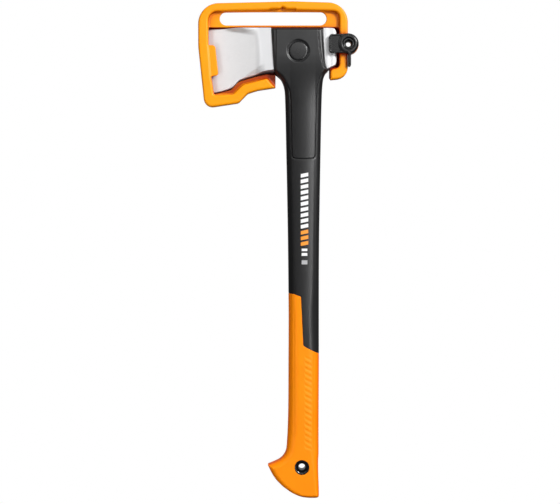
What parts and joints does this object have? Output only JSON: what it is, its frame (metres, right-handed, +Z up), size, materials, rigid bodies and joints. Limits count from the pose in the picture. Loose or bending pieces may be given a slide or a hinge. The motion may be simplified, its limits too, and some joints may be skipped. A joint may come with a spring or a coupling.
{
  "type": "splitting axe",
  "caption": "Splitting-type axe with a steel head in a hollow black plastic handle, a soft orange grip with a hang hole, and an orange carry sheath closed by a swinging latch.",
  "frame": {"origin": "centre of the hang hole at the foot of the handle, in the axe's middle plane", "axes": "+Z up the handle to the head; -X towards the cutting edge, +X towards the poll; -Y is the sheath's open front with the latch, +Y its closed back"},
  "size_m": [0.2185, 0.045, 0.677],
  "materials": {
    "forged_steel": "satin",
    "handle_black": "satin",
    "plug_black": "satin",
    "grip_orange": "matte",
    "core_black": "matte",
    "lining_black": "gloss",
    "sheath_orange": "satin",
    "latch_black": "satin",
    "pivot_black": "gloss",
    "clip_steel": "satin"
  },
  "bodies": {
    "sheathed_axe": {"axe_head": "forged_steel", "handle": "handle_black", "lock_plug": "plug_black", "grip": "grip_orange", "foot_plug": "core_black", "hang_hole_sleeve": "lining_black", "sheath": "sheath_orange", "latch_pivot": "pivot_black", "pivot_clip": "clip_steel"},
    "latch": {"latch": "latch_black"}
  },
  "joints": [
    {"name": "latch_turn", "type": "hinge", "parent": "sheathed_axe", "child": "latch", "pos_m": [0.0631, -0.016, 0.5753], "axis": [0, -1, 0], "range_deg": [0, 95]}
  ]
}
